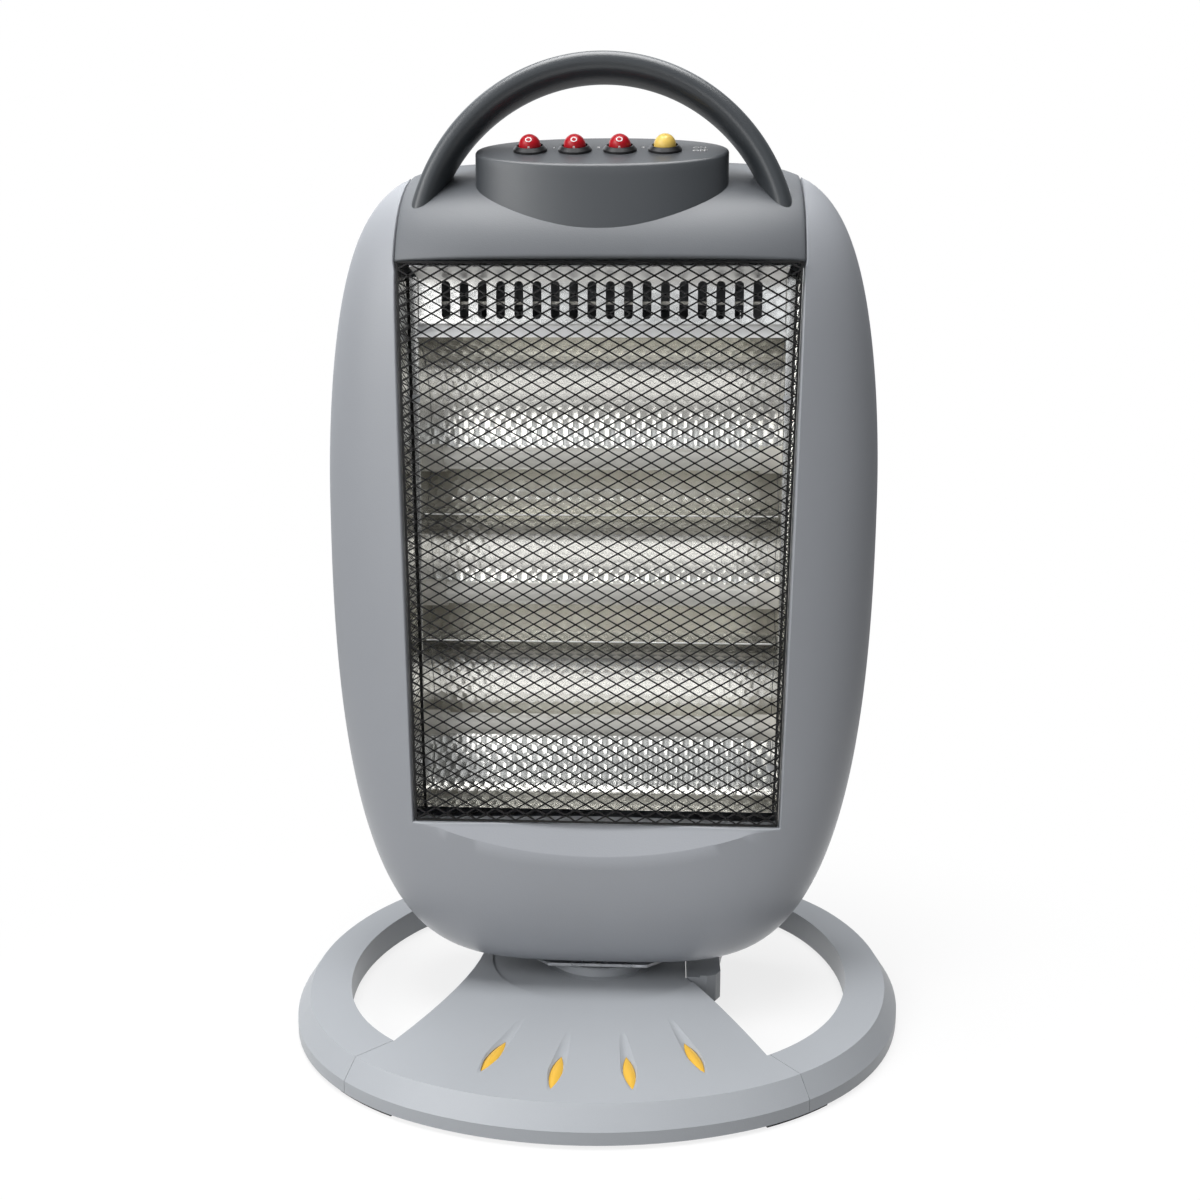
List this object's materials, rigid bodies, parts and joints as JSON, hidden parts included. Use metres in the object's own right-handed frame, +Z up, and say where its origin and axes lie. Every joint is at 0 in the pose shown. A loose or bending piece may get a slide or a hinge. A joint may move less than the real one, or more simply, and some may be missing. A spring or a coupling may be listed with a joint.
{
  "type": "halogen heater",
  "caption": "Upright halogen heater with a mesh-fronted barrel-shaped head, arched carry handle and rocker switches, swinging on a round open base.",
  "frame": {"origin": "on the floor under the middle of the base ring, on the axis that the head swings about", "axes": "+X to the right seen from the front, -Y out of the front, +Z up"},
  "size_m": [0.34, 0.34, 0.5109],
  "materials": {
    "base_plastic": "satin, light grey",
    "amber_lens": "gloss",
    "pad_rubber": "matt",
    "zinc_steel": "galvanised",
    "bright_steel": "bright",
    "black_plastic": "matt",
    "plunger_plastic": "gloss",
    "shell_plastic": "satin, light grey",
    "cap_plastic": "satin, mid grey",
    "panel_plastic": "satin, dark grey",
    "handle_plastic": "satin, darker grey",
    "red_plastic": "gloss",
    "yellow_plastic": "gloss",
    "mesh_black": "satin black",
    "reflector_sheet": "bright, embossed",
    "frosted_tube": "frosted",
    "filament_wire": "dull",
    "ceramic": "matt white"
  },
  "bodies": {
    "base": {"base_front": "base_plastic", "base_rear": "base_plastic", "accent_lenses": "amber_lens", "foot_pads": "pad_rubber", "hub_plate": "base_plastic", "hub_screws": "bright_steel", "turntable": "base_plastic", "pivot_tube": "bright_steel", "pivot_nut": "bright_steel", "slotted_arm": "zinc_steel", "tip_switch_case": "black_plastic", "tip_spring": "bright_steel", "slip_washer": "ceramic", "pivot_lock_ring": "bright_steel"},
    "head": {"swivel_plate": "zinc_steel", "swivel_screws": "bright_steel", "chassis_plate": "zinc_steel", "motor_bracket": "zinc_steel", "swing_motor": "zinc_steel", "motor_screws": "bright_steel", "terminal_block": "ceramic", "front_shell": "shell_plastic", "rear_shell": "shell_plastic", "top_cap": "cap_plastic", "rear_panel": "panel_plastic", "rear_panel_screws": "bright_steel", "cord_gland": "black_plastic", "carry_handle": "handle_plastic", "switch_panel": "panel_plastic", "switch_bodies": "black_plastic", "grille": "mesh_black", "grille_sides": "mesh_black", "grille_clips": "zinc_steel", "reflector": "reflector_sheet", "vent_plate": "reflector_sheet", "stay_strip": "reflector_sheet", "side_plates": "reflector_sheet", "frame_brackets": "zinc_steel", "lamp_top": "frosted_tube", "lamp_middle": "frosted_tube", "lamp_bottom": "frosted_tube", "filaments": "filament_wire", "lamp_end_caps": "ceramic", "lamp_clips": "zinc_steel", "thermal_cutoff": "black_plastic"},
    "crank": {"motor_shaft": "bright_steel", "crank_disc": "black_plastic"},
    "tip_plunger": {"tip_plunger": "plunger_plastic"},
    "rocker_low": {"rocker_low": "red_plastic"},
    "rocker_middle": {"rocker_middle": "red_plastic"},
    "rocker_high": {"rocker_high": "red_plastic"},
    "rocker_swing": {"rocker_swing": "yellow_plastic"}
  },
  "joints": [
    {"name": "swing", "type": "hinge", "parent": "base", "child": "head", "pos_m": [0, 0, 0.022], "axis": [0, 0, 1], "range_deg": [-30, 30]},
    {"name": "crank_turn", "type": "hinge", "parent": "head", "child": "crank", "pos_m": [0, 0.018, 0.042], "axis": [0, 0, 1], "range_deg": [-90, 90]},
    {"name": "tip_slide", "type": "slide", "parent": "base", "child": "tip_plunger", "axis": [0, 0, 1], "range_m": [-0.004, 0], "stiffness_N_per_m": 60, "springref_m": -0.006, "deforming": ["tip_spring"]},
    {"name": "rocker_low_tilt", "type": "hinge", "parent": "head", "child": "rocker_low", "pos_m": [-0.0374, -0.02799, 0.46274], "axis": [1, 0, 0], "range_deg": [-16, 0]},
    {"name": "rocker_middle_tilt", "type": "hinge", "parent": "head", "child": "rocker_middle", "pos_m": [-0.014, -0.02799, 0.46274], "axis": [1, 0, 0], "range_deg": [-16, 0]},
    {"name": "rocker_high_tilt", "type": "hinge", "parent": "head", "child": "rocker_high", "pos_m": [0.0094, -0.02799, 0.46274], "axis": [1, 0, 0], "range_deg": [-16, 0]},
    {"name": "rocker_swing_tilt", "type": "hinge", "parent": "head", "child": "rocker_swing", "pos_m": [0.0328, -0.02799, 0.46274], "axis": [1, 0, 0], "range_deg": [-16, 0]}
  ],
  "couplings": [
    {"joint": "crank_turn", "follows": "swing", "ratio": -3}
  ]
}
